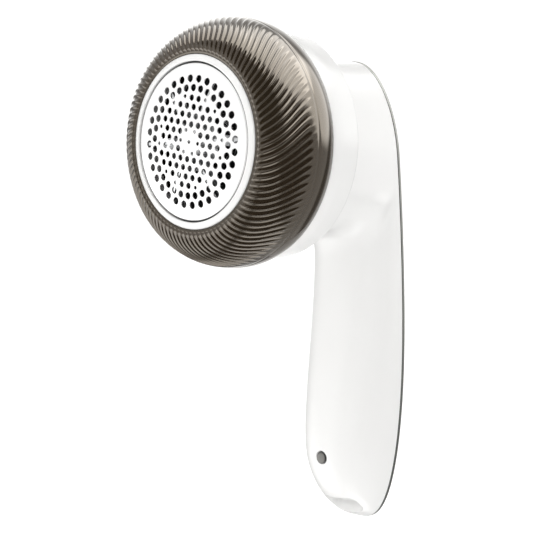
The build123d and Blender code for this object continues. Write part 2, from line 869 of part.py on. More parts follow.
with BuildPart() as cover_screws:
    for x, z in cover_screw_places:
        head_back = back_at(z) - 0.5
        round_bar(head_back - 1.1, head_back, 2.2, [(x, z)])
        round_bar(head_back - 9, head_back - 1.1, 0.9, [(x, z)])
        block((x - 1.4, head_back - 0.5, z - 0.25), (x + 1.4, 90, z + 0.25), Mode.SUBTRACT)
        block((x - 0.25, head_back - 0.5, z - 1.4), (x + 0.25, 90, z + 1.4), Mode.SUBTRACT)
finish(cover_screws, "cover_screws")

with BuildPart() as neck_screws:
    screws(drum_back - drum_wall - 1.4, drum_back - drum_wall, 2.2, drum_back + 7, 0.9, neck_screw_places)
finish(neck_screws, "neck_screws")

# ---------------------------------------------------------------- power slide
with BuildPart() as switch_knob:
    block(
        (-knob_width / 2, knob_front, slide_z - knob_length / 2),
        (knob_width / 2, knob_back, slide_z + knob_length / 2),
    )
    fillet(switch_knob.edges().filter_by(Axis.Y), 3.0)
    fillet(switch_knob.faces().sort_by(Axis.Y)[-1].edges(), 0.6)
    for rise in grip_ribs:
        block(
            (-grip_rib_half, knob_back - 0.3, slide_z + rise),
            (grip_rib_half, knob_back + grip_rib_rise, slide_z + rise + 1),
        )
    block(
        (-stem_half, stem_front, slide_z - stem_length_half),
        (stem_half, knob_front, slide_z + stem_length_half),
    )
    block(
        (-slider_half - 0.1, stem_front - 1, slide_z - slider_half - 0.3),
        (slider_half + 0.1, knob_front + 0.6, slide_z + slider_half + 0.3),
        Mode.SUBTRACT,
    )
finish(switch_knob, "switch_knob")

with BuildPart() as switch_slider:
    block(
        (-slider_half, slider_front, slide_z - slider_half - 0.2),
        (slider_half, knob_front + 0.4, slide_z + slider_half + 0.2),
    )
finish(switch_slider, "switch_slider")

with BuildPart() as switch_body:
    block(
        (-switch_half, switch_front, slide_z - switch_length_half),
        (switch_half, switch_back, slide_z + switch_length_half),
    )
    block(
        (-slider_half - 0.1, slider_front - 0.2, slide_z - slider_half - 0.7),
        (slider_half + 0.1, switch_back + 1, slide_z + slide_travel + slider_half + 0.7),
        Mode.SUBTRACT,
    )
finish(switch_body, "switch_body")

# ---------------------------------------------------------------- battery
cell_axis = Plane(origin=cell_foot, x_dir=(1, 0, 0), z_dir=cell_lean)

with BuildPart() as battery_cell:
    with BuildSketch(cell_axis):
        Circle(cell_radius)
    extrude(amount=cell_length - 1)
    fillet(battery_cell.edges().filter_by(GeomType.CIRCLE), 0.6)
    with BuildSketch(cell_axis.offset(cell_length - 1.2)):
        Circle(cell_cap_radius)
    extrude(amount=1.2)
finish(battery_cell, "battery_cell")

with BuildPart() as battery_tabs:
    for height in (-0.4, cell_length + 0.05):
        with BuildSketch(cell_axis.offset(height)):
            Rectangle(*tab_size)
        extrude(amount=0.3)
finish(battery_tabs, "battery_tabs")

with BuildPart() as battery_cradle:
    with BuildSketch(cell_axis.offset(cradle_foot)):
        Rectangle(2 * cradle_radius, cradle_width)
    extrude(amount=1.2)
    with BuildSketch(cell_axis.offset(cradle_foot)):
        Circle(cradle_radius)
        Circle(cell_radius + 0.05, mode=Mode.SUBTRACT)
        Rectangle(2 * cradle_radius + 2, cradle_width, mode=Mode.INTERSECT)
    extrude(amount=cradle_length)
finish(battery_cradle, "battery_cradle")

# ---------------------------------------------------------------- board, light and socket
board_back = board_front + board_thickness
with BuildPart() as circuit_board:
    block((-board_half, board_front, board_bottom), (board_half, board_back, board_top))
    fillet(circuit_board.edges().filter_by(Axis.Y), 1.0)
    round_bar(board_front - 1, board_back + 1, board_hole_radius, [(0, board_top - 3)], Mode.SUBTRACT)
finish(circuit_board, "circuit_board")

with BuildPart() as board_chips:
    chips = [(main_chip, 0.0, main_chip_z)]
    chips += [(small_chip, side * small_chip_x, small_chip_z) for side in (-1, 1)]
    for (wide, thick, tall), x, z in chips:
        block(
            (x - wide / 2, board_front - thick, z - tall / 2),
            (x + wide / 2, board_front - solder_gap, z + tall / 2),
        )
finish(board_chips, "board_chips")

with BuildPart() as charge_led:
    round_bar(lens_flange_back + led_gap, board_front, led_radius, [(0, lens_z)])
    round_bar(board_front - 0.6, board_front, led_base_radius, [(0, lens_z)])
finish(charge_led, "charge_led")

with BuildPart() as light_lens:
    round_bar(lens_front, lens_back, lens_radius, [(0, lens_z)])
    fillet(light_lens.edges().filter_by(GeomType.CIRCLE).sort_by(Axis.Y)[0], 0.3)
    round_bar(lens_back, lens_flange_back, lens_flange_radius, [(0, lens_z)])
finish(light_lens, "light_lens")

with BuildPart() as charging_socket:
    socket_block(pocket_depth, pocket_depth + socket_length, socket_width, socket_height)
    fillet(
        charging_socket.edges().filter_by(
            lambda edge: abs(edge.length - socket_length) < 0.01
        ),
        1.2,
    )
    socket_block(
        pocket_depth - 1, pocket_depth + socket_length - socket_floor,
        socket_width - 2 * socket_rim, socket_height - 2 * socket_rim, Mode.SUBTRACT,
    )
finish(charging_socket, "charging_socket")

with BuildPart() as socket_tongue:
    socket_block(pocket_depth + 1, pocket_depth + socket_length - socket_floor, tongue_width, tongue_height)
finish(socket_tongue, "socket_tongue")

# ---------------------------------------------------------------- wiring
with BuildPart() as motor_wire:
    wire([(terminal_x, 58.6, 0), (8.0, 66.0, -10.0), (4.0, 75.0, -22.0), (2.0, 77.5, -32.2)], wire_radius)
finish(motor_wire, "motor_wire")

with BuildPart() as return_wire:
    wire(
        [(-terminal_x, 58.6, 0), (-9.0, 66.0, -14.0), (-8.0, 70.0, -32.0), (-6.5, 68.2, -58.0),
         (-6.0, 66.6, -78.0), (-5.0, 65.0, -90.0)],
        wire_radius,
    )
finish(return_wire, "return_wire")

with BuildPart() as charge_leads:
    for x in (-lead_x, lead_x):
        wire([(x, 75.2, -115.6), (x, 70.0, -114.6), (x, 65.2, -112.4)], lead_radius)
finish(charge_leads, "charge_leads")
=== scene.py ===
import json
import math

import bmesh
import bpy
import numpy as np
from mathutils import Matrix, Vector, geometry

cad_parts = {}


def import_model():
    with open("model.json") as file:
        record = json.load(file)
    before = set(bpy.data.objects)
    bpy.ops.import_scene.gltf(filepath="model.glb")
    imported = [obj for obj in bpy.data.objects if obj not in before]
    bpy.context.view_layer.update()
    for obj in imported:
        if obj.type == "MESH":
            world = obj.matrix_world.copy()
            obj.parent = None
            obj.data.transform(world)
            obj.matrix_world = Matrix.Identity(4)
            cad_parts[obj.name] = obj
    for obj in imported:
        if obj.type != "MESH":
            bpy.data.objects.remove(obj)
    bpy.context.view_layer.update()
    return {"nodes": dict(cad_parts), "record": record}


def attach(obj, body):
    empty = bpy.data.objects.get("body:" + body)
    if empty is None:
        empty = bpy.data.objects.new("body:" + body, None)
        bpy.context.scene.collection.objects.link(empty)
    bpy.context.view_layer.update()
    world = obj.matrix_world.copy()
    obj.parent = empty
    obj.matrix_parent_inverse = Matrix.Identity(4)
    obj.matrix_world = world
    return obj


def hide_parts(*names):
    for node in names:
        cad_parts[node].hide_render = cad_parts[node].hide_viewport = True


# Looks of a hand-held fabric shaver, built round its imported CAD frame.
# Lengths below are millimetres; MM turns them into metres when a mesh is made.
# Origin on the cutter axis in the plane of the foil ring's outer edge,
# -Y out of the shaving face, +Z up the handle.

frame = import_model()

MM = 0.001
TURN = 2 * math.pi

# ---------------------------------------------------------------- sizes

# the bowed back of the handle
BACK_Y = 82.8
BOW_RADIUS = 820.0
BOW_Z = -57.4

# the grip
GRIP_HALF = 18.0
TAPER_Z = -42.4
TAPER_LENGTH = 89.0
GRIP_DEPTH = 17.3
SWELL = 6.0
SWELL_Z = -35.0
SWELL_LENGTH = 70.0
SECTION_POWER = (2.2, 2.72)
SECTION_Z = -40.0
SECTION_LENGTH = 60.0
HEEL_Z = -105.4
HEEL_LENGTH = 26.0
HEEL_POWER = 1.7
GRIP_TOP_Z = -14.0
WALL = 1.8

# the neck that carries the head
NECK_FRONT_Y = 38.0
NECK_BACK_Y = 81.3
NECK_HALF = (16.6, 18.0)
NECK_ARCH = (32.2, 34.0)
ARCH_Z = -4.5
NECK_BOTTOM_Z = -30.0
NECK_CORNER = 13.0

# the fillet under the neck grows forward from the back and down from the grip's top
FILLET = 9.0
FILLET_BEHIND = 3.0
FILLET_FORWARD = 10.0
FILLET_DOWN = 8.0
NO_FILLET = 0.02

# the trim band and back cover
BAND_WIDE = 2.4
BAND_DEEP = 1.5
COVER_GAP = 0.1
COVER_PROUD = 0.4

# the lint ring
LIP = (28.65, 0.3)
RING_INNER = 29.9
BULGE_OUT = 11.6
BULGE_LONG = 18.0
REAR_DROP = 6.8
REAR_LONG = 9.0
RING_REAR_Y = 25.0
RIB_COUNT = 96
RIB_STEPS = 12
RIB_HEIGHT = 0.42
RIB_POWER = 2.2
RIB_SINK = 0.6
RIB_START = 1.3
RIB_RISE = 2.6
RIB_FADE_START = 15.5
RIB_FADE = 7.0

# the charging light
LENS_Z = -108.8
LENS_RADIUS = 2.2
LENS_FACE_Y = 58.25

# the foil
DOME_APEX_Y = -1.9
DOME_RADIUS = 204.0
FOIL_THICK = 0.3
FOIL_EDGE = 24.9
FOIL_ROLL = 0.7
FOIL_SKIRT_Y = 2.0
RIM_HOLES = 32
RIM_ROWS = ((20.5, 1.25, 0.0), (17.5, 1.2, 0.5))
HOLE_PITCH = 3.27
HOLE_TURN = 49.0
HOLE_RADIUS = 1.05
SMALL_HOLE_RADIUS = 0.65
INNER_HOLES_RADIUS = 4.1
HOLE_CHAMFER = 0.07
HOLE_SIDES = 24
FOIL_SIDES = 160


# ---------------------------------------------------------------- helpers


def clamp(t):
    return np.clip(t, 0.0, 1.0)


def smooth(t):
    t = clamp(t)
    return t * t * (3 - 2 * t)


def piece(name, points, faces, sharp=35):
    """A mesh object from points in millimetres, shaded smooth except across sharp edges."""
    mesh = bpy.data.meshes.new(name)
    mesh.from_pydata([tuple(float(c) * MM for c in p) for p in points], [], faces)
    obj = bpy.data.objects.new(name, mesh)
    bpy.context.scene.collection.objects.link(obj)
    tidy(obj, sharp)
    return obj


def tidy(obj, sharp=35):
    """Makes every face point outward and marks the sharp edges."""
    work = bmesh.new()
    work.from_mesh(obj.data)
    bmesh.ops.remove_doubles(work, verts=work.verts, dist=1e-7)
    bmesh.ops.recalc_face_normals(work, faces=work.faces)
    work.to_mesh(obj.data)
    work.free()
    obj.data.shade_smooth()
    obj.data.set_sharp_from_angle(angle=math.radians(sharp))


def keep_evaluated(obj):
    """Turns an object's modifiers into its own mesh."""
    graph = bpy.context.evaluated_depsgraph_get()
    made = bpy.data.meshes.new_from_object(obj.evaluated_get(graph))
    obj.modifiers.clear()
    obj.data = made


def combine(obj, other, operation):
    """Adds or cuts another solid, which is then thrown away."""
    step = obj.modifiers.new("combine", "BOOLEAN")
    step.operation = operation
    step.solver = "EXACT"
    step.object = other
    keep_evaluated(obj)
    bpy.data.objects.remove(other)


def join(name, *objs):
    """Several objects made into one new object."""
    work = bmesh.new()
    for obj in objs:
        work.from_mesh(obj.data)
    mesh = bpy.data.meshes.new(name)
    work.to_mesh(mesh)
    work.free()
    for obj in objs:
        bpy.data.objects.remove(obj)
    obj = bpy.data.objects.new(name, mesh)
    bpy.context.scene.collection.objects.link(obj)
    tidy(obj)
    return obj


def arc_points(centre, radii, start, end, count):
    """Points (a, b) along an ellipse arc, angles in degrees."""
    angles = np.radians(np.linspace(start, end, count))
    return [(centre[0] + radii[0] * math.cos(t), centre[1] + radii[1] * math.sin(t)) for t in angles]


def rounded(corners, radius, steps=5):
    """A closed outline with every corner rounded; the radius is cut down on short sides."""
    result = []
    count = len(corners)
    for i in range(count):
        before = np.array(corners[i - 1][:2], float)
        here = np.array(corners[i][:2], float)
        after = np.array(corners[(i + 1) % count][:2], float)
        to_before = before - here
        to_after = after - here
        reach = min(radius, np.linalg.norm(to_before) * 0.45, np.linalg.norm(to_after) * 0.45)
        first = here + to_before / np.linalg.norm(to_before) * reach
        last = here + to_after / np.linalg.norm(to_after) * reach
        for t in np.linspace(0, 1, steps):
            result.append(tuple((1 - t) ** 2 * first + 2 * t * (1 - t) * here + t * t * last))
    return result


def revolve(name, profile, steps=192, centre=(0.0, 0.0), closed=True):
    """A ring or knob: (radius, y) points turned about a line along Y through centre (x, z)."""
    points = []
    for k in range(steps):
        angle = TURN * k / steps
        for r, y in profile:
            points.append((centre[0] + r * math.cos(angle), y, centre[1] + r * math.sin(angle)))
    rows = len(profile)
    last = rows if closed else rows - 1
    faces = []
    for k in range(steps):
        a = k * rows
        b = (k + 1) % steps * rows
        for i in range(last):
            j = (i + 1) % rows
            faces.append((a + i, a + j, b + j, b + i))
    return piece(name, points, faces)


def prism(name, outline, levels, place):
    """A solid from an (a, b) outline: levels are (inset, height) rings from one end to the other."""
    outline = np.array(outline, float)
    points = []
    for inset, height in levels:
        for a, b in shrink(outline, inset):
            points.append(place(a, b, height))
    count = len(outline)
    faces = []
    for k in range(len(levels) - 1):
        for i in range(count):
            j = (i + 1) % count
            faces.append((k * count + i, k * count + j, (k + 1) * count + j, (k + 1) * count + i))
    faces.append(tuple(range(count)))
    faces.append(tuple((len(levels) - 1) * count + i for i in range(count)))
    return piece(name, points, faces)


def shrink(outline, inset):
    """The outline moved inward by inset along its own normals."""
    ahead = np.roll(outline, -1, axis=0) - np.roll(outline, 1, axis=0)
    ahead /= np.linalg.norm(ahead, axis=1)[:, None]
    inward = np.stack([-ahead[:, 1], ahead[:, 0]], axis=1)
    a, b = outline.T
    area = np.sum(a * np.roll(b, -1) - b * np.roll(a, -1))
    return outline + inward * inset * (1 if area > 0 else -1)


def rectangle(wide, tall, radius, steps=8):
    """A rounded rectangle about the origin."""
    result = []
    for side, end, start in ((-1, -1, 180), (1, -1, 270), (1, 1, 0), (-1, 1, 90)):
        centre = (side * (wide / 2 - radius), end * (tall / 2 - radius))
        result += arc_points(centre, (radius, radius), start, start + 90, steps)
    return result


def circle(radius, steps=48):
    return arc_points((0, 0), (radius, radius), 0, 360 - 360 / steps, steps)


def facing_back(x, z):
    """Places an outline in the plane of the back, centred at (x, z)."""
    return lambda a, b, height: (x + a, height, z + b)


# ---------------------------------------------------------------- materials


class Finish:
    """A procedural material: one principled surface with its inputs driven by noise."""

    def __init__(self, name, colour, roughness, metallic=0.0):
        self.material = bpy.data.materials.new(name)
        self.material.use_nodes = True
        self.tree = self.material.node_tree
        self.surface = self.tree.nodes["Principled BSDF"]
        self.surface.inputs["Metallic"].default_value = metallic
        self.where = self.tree.nodes.new("ShaderNodeTexCoord").outputs["Object"]
        self.tint(colour)
        self.gloss(roughness)

    def noise(self, scale, detail=3.0, stretch=(1, 1, 1)):
        """A noise value; scale is in features per metre."""
        mapping = self.tree.nodes.new("ShaderNodeMapping")
        mapping.inputs["Scale"].default_value = stretch
        self.tree.links.new(self.where, mapping.inputs["Vector"])
        node = self.tree.nodes.new("ShaderNodeTexNoise")
        node.inputs["Scale"].default_value = scale
        node.inputs["Detail"].default_value = detail
        self.tree.links.new(mapping.outputs["Vector"], node.inputs["Vector"])
        return node.outputs["Fac"]

    def spread(self, value, low, high):
        node = self.tree.nodes.new("ShaderNodeMapRange")
        node.inputs["To Min"].default_value = low
        node.inputs["To Max"].default_value = high
        self.tree.links.new(value, node.inputs["Value"])
        return node.outputs["Result"]

    def tint(self, colour, depth=0.04, scale=40.0):
        """Base colour with a faint cloudy change."""
        ramp = self.tree.nodes.new("ShaderNodeMix")
        ramp.data_type = "RGBA"
        ramp.inputs["A"].default_value = (*[c * (1 - depth) for c in colour], 1)
        ramp.inputs["B"].default_value = (*[min(1, c * (1 + depth)) for c in colour], 1)
        self.tree.links.new(self.noise(scale), ramp.inputs["Factor"])
        self.colour = ramp.outputs["Result"]
        self.tree.links.new(self.colour, self.surface.inputs["Base Color"])

    def gloss(self, roughness, depth=0.15, scale=90.0):
        """Roughness that changes a little from place to place."""
        value = self.spread(self.noise(scale), roughness * (1 - depth), roughness * (1 + depth))
        self.tree.links.new(value, self.surface.inputs["Roughness"])

    def grain(self, scale, height, stretch=(1, 1, 1)):
        """A fine surface texture; height in millimetres."""
        node = self.tree.nodes.new("ShaderNodeBump")
        node.inputs["Distance"].default_value = height * MM
        self.tree.links.new(self.noise(scale, 4.0, stretch), node.inputs["Height"])
        self.tree.links.new(node.outputs["Normal"], self.surface.inputs["Normal"])

    def paint_shade_beyond(self, centre_z, start, end, colour):
        """Paints shade by turning to another colour from one radius to a larger one about a line along Y.
        """
        offset = self.tree.nodes.new("ShaderNodeVectorMath")
        offset.operation = "SUBTRACT"
        offset.inputs[1].default_value = (0, 0, centre_z * MM)
        self.tree.links.new(self.where, offset.inputs[0])
        flat = self.tree.nodes.new("ShaderNodeVectorMath")
        flat.operation = "MULTIPLY"
        flat.inputs[1].default_value = (1, 0, 1)
        self.tree.links.new(offset.outputs["Vector"], flat.inputs[0])
        away = self.tree.nodes.new("ShaderNodeVectorMath")
        away.operation = "LENGTH"
        self.tree.links.new(flat.outputs["Vector"], away.inputs[0])
        rim = self.tree.nodes.new("ShaderNodeMapRange")
        rim.inputs["From Min"].default_value = start * MM
        rim.inputs["From Max"].default_value = end * MM
        self.tree.links.new(away.outputs["Value"], rim.inputs["Value"])
        ring = self.tree.nodes.new("ShaderNodeMix")
        ring.data_type = "RGBA"
        ring.inputs["B"].default_value = (*colour, 1)
        self.tree.links.new(rim.outputs["Result"], ring.inputs["Factor"])
        self.tree.links.new(self.colour, ring.inputs["A"])
        self.tree.links.new(ring.outputs["Result"], self.surface.inputs["Base Color"])

    def shade_edges(self, depth, power):
        """Paints shade into the base colour: darker where the surface turns away from the viewer."""
        layer = self.tree.nodes.new("ShaderNodeLayerWeight")
        layer.inputs["Blend"].default_value = 0.5
        curve = self.tree.nodes.new("ShaderNodeMath")
        curve.operation = "POWER"
        curve.inputs[1].default_value = power
        self.tree.links.new(layer.outputs["Facing"], curve.inputs[0])
        darker = self.tree.nodes.new("ShaderNodeMix")
        darker.data_type = "RGBA"
        darker.blend_type = "MULTIPLY"
        darker.inputs["B"].default_value = (1 - depth, 1 - depth, 1 - depth, 1)
        self.tree.links.new(curve.outputs["Value"], darker.inputs["Factor"])
        self.tree.links.new(self.colour, darker.inputs["A"])
        self.tree.links.new(darker.outputs["Result"], self.surface.inputs["Base Color"])

    def coat(self, weight, roughness=0.05):
        self.surface.inputs["Coat Weight"].default_value = weight
        self.surface.inputs["Coat Roughness"].default_value = roughness

    def clear(self, weight, ior=1.5):
        self.surface.inputs["Transmission Weight"].default_value = weight
        self.surface.inputs["IOR"].default_value = ior


def plastic(name, colour, roughness, coat=0.0, grain=0.004):
    made = Finish(name, colour, roughness)
    made.grain(1400, grain)
    if coat:
        made.coat(coat)
    return made.material


def metal(name, colour, roughness, stretch=(1, 1, 1), grain=0.003):
    made = Finish(name, colour, roughness, metallic=1.0)
    made.grain(900, grain, stretch)
    return made.material


def white_gloss():
    made = Finish("white_gloss", (0.87, 0.87, 0.865), 0.3)
    made.tint((0.87, 0.87, 0.865), depth=0.01)
    # painted shade: every white part is darkened towards edges that turn away from the camera
    made.shade_edges(0.34, 2.8)
    made.grain(1600, 0.002)
    made.coat(0.3, 0.22)
    made.surface.inputs["Specular IOR Level"].default_value = 0.3
    return made.material


def smoke_plastic():
    made = Finish("smoke_plastic", (0.021, 0.0145, 0.008), 0.09)
    made.tint((0.021, 0.0145, 0.008), depth=0.08)
    made.surface.inputs["Specular IOR Level"].default_value = 0.9
    made.surface.inputs["Specular Tint"].default_value = (1, 0.9, 0.77, 1)
    return made.material


def foil_steel():
    made = Finish("foil_steel", (0.95, 0.95, 0.95), 0.34, metallic=0.3)
    made.tint((0.95, 0.95, 0.95), depth=0.02)
    made.grain(2600, 0.003)
    # painted shade: the foil's rolled edge turns near black, for the shaded gap between foil and foil
    # ring
    made.paint_shade_beyond(0.0, FOIL_EDGE + 0.5, FOIL_EDGE + 0.65, (0.05, 0.05, 0.05))
    return made.material


def lens_grey():
    """Smoked lens, with painted shade in a ring round its edge."""
    made = Finish("lens_grey", (0.12, 0.115, 0.105), 0.3)
    # painted shade: a near-black ring round the lens's edge
    made.paint_shade_beyond(LENS_Z, 1.6, 1.95, (0.02, 0.02, 0.02))
    made.coat(0.4)
    return made.material


MATERIALS = {
    "white_gloss": white_gloss(),
    "smoke_plastic": smoke_plastic(),
    "foil_steel": foil_steel(),
    "trim_satin": metal("trim_satin", (0.14, 0.143, 0.135), 0.34),
    "blade_steel": metal("blade_steel", (0.62, 0.63, 0.64), 0.28, (1, 8, 1)),
    "motor_steel": metal("motor_steel", (0.6, 0.6, 0.61), 0.3, (1, 6, 1)),
    "spring_steel": metal("spring_steel", (0.7, 0.7, 0.71), 0.25),
    "screw_steel": metal("screw_steel", (0.6, 0.61, 0.62), 0.3),
    "nickel": metal("nickel", (0.68, 0.67, 0.64), 0.22),
    "copper": metal("copper", (0.7, 0.36, 0.18), 0.3, (1, 30, 1), 0.02),
    "bronze": metal("bronze", (0.5, 0.36, 0.18), 0.45),
    "grey_plastic": plastic("grey_plastic", (0.13, 0.13, 0.135), 0.5),
    "dark_plastic": plastic("dark_plastic", (0.022, 0.022, 0.024), 0.42),
    "magnet": plastic("magnet", (0.03, 0.03, 0.033), 0.65, grain=0.02),
    "carbon": plastic("carbon", (0.015, 0.015, 0.015), 0.6, grain=0.01),
    "seal_rubber": plastic("seal_rubber", (0.03, 0.03, 0.03), 0.7, grain=0.01),
    "cell_wrap": plastic("cell_wrap", (0.03, 0.11, 0.07), 0.25, coat=0.5),
    "board_green": plastic("board_green", (0.01, 0.09, 0.035), 0.35, coat=0.3),
    "lens_grey": lens_grey(),
    "led_clear": plastic("led_clear", (0.7, 0.7, 0.62), 0.15, coat=0.5),
    "wire_red": plastic("wire_red", (0.4, 0.015, 0.012), 0.4),
    "wire_black": plastic("wire_black", (0.012, 0.012, 0.012), 0.4),
}


def paint(obj, slot):
    obj.data.materials.clear()
    obj.data.materials.append(MATERIALS[slot])


def dress(obj, slot, body, *nodes):
    """Finish, body and CAD nodes of a piece built here."""
    paint(obj, slot)
    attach(obj, body)
    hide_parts(*nodes)


def dress_cad_nodes():
    """Every CAD node shown as it is takes the finish of its slot."""
    for part in frame["record"]["subparts"]:
        node = frame["nodes"][part["node"]]
        paint(node, part["material_slot"])


# ---------------------------------------------------------------- shape of the handle


def back_at(z):
    """Where the bowed back lies."""
    return BACK_Y - BOW_RADIUS + np.sqrt(BOW_RADIUS**2 - (z - BOW_Z) ** 2)


def half_width_at(z):
    """Half the grip's width, which tapers to nothing at the heel."""
    taper = clamp((TAPER_Z - z) / TAPER_LENGTH)
    return GRIP_HALF * (1 - taper**3) ** (1 / 3)


def depth_at(z):
    """How far the grip stands forward of the back: a swell low down, then the rounded heel."""
    heel = clamp((HEEL_Z - z) / HEEL_LENGTH)
    swell = GRIP_DEPTH + SWELL * smooth((SWELL_Z - z) / SWELL_LENGTH)
    return swell * (1 - heel**HEEL_POWER) ** (1 / HEEL_POWER)


def power_at(z):
    """Exponent of the grip's section: squarer towards the heel."""
    low, high = SECTION_POWER
    return low + (high - low) * clamp((SECTION_Z - z) / SECTION_LENGTH)


def grip_field(x, v, z):
    """Below zero inside the grip; v is the distance behind the bowed back."""
    half = np.maximum(half_width_at(z), 0.01)
    depth = np.maximum(depth_at(z), 0.01)
    power = power_at(z)
    reach = ((np.abs(x) / half) ** power + (np.abs(v) / depth) ** power) ** (1 / power)
    return (reach - 1) * np.minimum(half, depth)


def neck_field(x, y, z):
    """Below zero inside the neck, an arch-topped block running forward to the drum."""
    back = (y - NECK_FRONT_Y) / (NECK_BACK_Y - NECK_FRONT_Y)
    half = NECK_HALF[0] + (NECK_HALF[1] - NECK_HALF[0]) * back
    arch = NECK_ARCH[0] + (NECK_ARCH[1] - NECK_ARCH[0]) * back
    dome = (np.hypot(x / half, (z - ARCH_Z) / arch) - 1) * half
    side = np.abs(x) - (half - NECK_CORNER)
    under = NECK_BOTTOM_Z + NECK_CORNER - z
    corner = np.hypot(np.maximum(side, 0), np.maximum(under, 0))
    block = corner + np.minimum(np.maximum(side, under), 0) - NECK_CORNER
    return np.where(z > ARCH_Z, dome, block)


def handle_field(x, v, z):
    """The grip and neck run together, with a broad fillet in the crook under the head."""
    grip = np.maximum(grip_field(x, v, z), z - GRIP_TOP_Z)
    neck = neck_field(x, v + back_at(z), z)
    forward = smooth((-v - FILLET_BEHIND) / FILLET_FORWARD)
    down = smooth((GRIP_TOP_Z - z) / FILLET_DOWN)
    radius = FILLET * forward * down + NO_FILLET
    share = clamp(0.5 + 0.5 * (grip - neck) / radius)
    return grip * (1 - share) + neck * share - radius * share * (1 - share)


def settle(field, points, rounds=4, reach=0.4):
    """Moves points onto the surface where the field is zero."""
    small = 0.01
    for _ in range(rounds):
        value = field(*points.T)
        slope = np.empty_like(points)
        for axis in range(3):
            step = np.zeros(3)
            step[axis] = small
            slope[:, axis] = (field(*(points + step).T) - field(*(points - step).T)) / (2 * small)
        steep = np.maximum((slope**2).sum(1), 1e-6)
        move = slope * (value / steep)[:, None]
        length = np.maximum(np.linalg.norm(move, axis=1), 1e-9)
        points = points - move * np.minimum(1, reach / length)[:, None]
    return points


def net(field, low, high, step):
    """A quad mesh on the field's zero surface, one point in each crossed cell of a grid."""
    counts = [int(round((b - a) / step)) + 1 for a, b in zip(low, high)]
    axes = [a + step * np.arange(n) for a, n in zip(low, counts)]
    value = field(*np.meshgrid(*axes, indexing="ij"))
    cells = tuple(n - 1 for n in counts)
    total = np.zeros(cells + (3,))
    crossings = np.zeros(cells)
    found = []
    for axis in range(3):
        others = [k for k in range(3) if k != axis]
        first = np.take(value, range(counts[axis] - 1), axis)
        second = np.take(value, range(1, counts[axis]), axis)
        crossed = (first < 0) != (second < 0)
        where = np.argwhere(crossed)
        inner = np.ones(len(where), bool)
        for k in others:
            inner &= (where[:, k] > 0) & (where[:, k] < counts[k] - 1)
        share = first[crossed] / (first[crossed] - second[crossed])
        spot = where * step + np.array(low, float)
        spot[:, axis] += share * step
        ring = []
        for da, db in ((0, 0), (-1, 0), (-1, -1), (0, -1)):
            cell = where.copy()
            cell[:, others[0]] += da
            cell[:, others[1]] += db
            ring.append(cell)
            inside = ((cell >= 0) & (cell < np.array(cells))).all(1)
            index = tuple(cell[inside].T)
            np.add.at(total, index, spot[inside])
            np.add.at(crossings, index, 1)
        found.append(np.stack(ring, 1)[inner])
    used = crossings > 0
    number = np.full(cells, -1)
    number[used] = np.arange(used.sum())
    points = total[used] / crossings[used][:, None]
    quads = np.concatenate(found)
    faces = number[quads[..., 0], quads[..., 1], quads[..., 2]]
    return settle(field, points), faces


def cut(work, point, normal):
    """Removes what lies beyond a plane and closes the opening."""
    whole = work.verts[:] + work.edges[:] + work.faces[:]
    bmesh.ops.bisect_plane(work, geom=whole, plane_co=point, plane_no=normal, clear_outer=True, dist=1e-6)
    edges = [e for e in work.edges if e.is_boundary]

    def on_plane(vert):
        return abs((vert.co - Vector(point)).dot(Vector(normal))) < 1e-4

    bmesh.ops.holes_fill(work, edges=[e for e in edges if all(on_plane(v) for v in e.verts)])


# corners of the box, in front of the bowed back, that holds the whole handle
HANDLE_LOW = (-21, -50, -133)
HANDLE_HIGH = (21, 1, 32)


def handle_solid(name, field, back_v, front_y, step=1.0):
    """The handle's form as a closed solid, from front_y to back_v in front of the bowed back."""
    points, faces = net(field, HANDLE_LOW, HANDLE_HIGH, step)
    mesh = bpy.data.meshes.new(name)
    mesh.from_pydata(points.tolist(), [], faces.tolist())
    work = bmesh.new()
    work.from_mesh(mesh)
    cut(work, (0, back_v, 0), (0, 1, 0))
    for vert in work.verts:
        vert.co.y += float(back_at(vert.co.z))
    cut(work, (0, front_y, 0), (0, -1, 0))
    bmesh.ops.triangulate(work, faces=[f for f in work.faces if len(f.verts) > 4])
    for vert in work.verts:
        vert.co *= MM
    work.to_mesh(mesh)
    work.free()
    obj = bpy.data.objects.new(name, mesh)
    bpy.context.scene.collection.objects.link(obj)
    tidy(obj)
    return obj


# ---------------------------------------------------------------- handle shell

POCKET_POINT = (69.3, -125.8)
POCKET_TILT = 56.2
POCKET_WIDE = 14.0
POCKET_TALL = 8.0
POCKET_DEEP = 3.2


def into_pocket(a, b, depth):
    """A point a across, b up and depth inward of the charging recess."""
    tilt = math.radians(POCKET_TILT)
    inward = (math.cos(tilt), math.sin(tilt))
    upward = (-math.sin(tilt), math.cos(tilt))
    y = POCKET_POINT[0] + inward[0] * depth + upward[0] * b
    z = POCKET_POINT[1] + inward[1] * depth + upward[1] * b
    return (a, y, z)


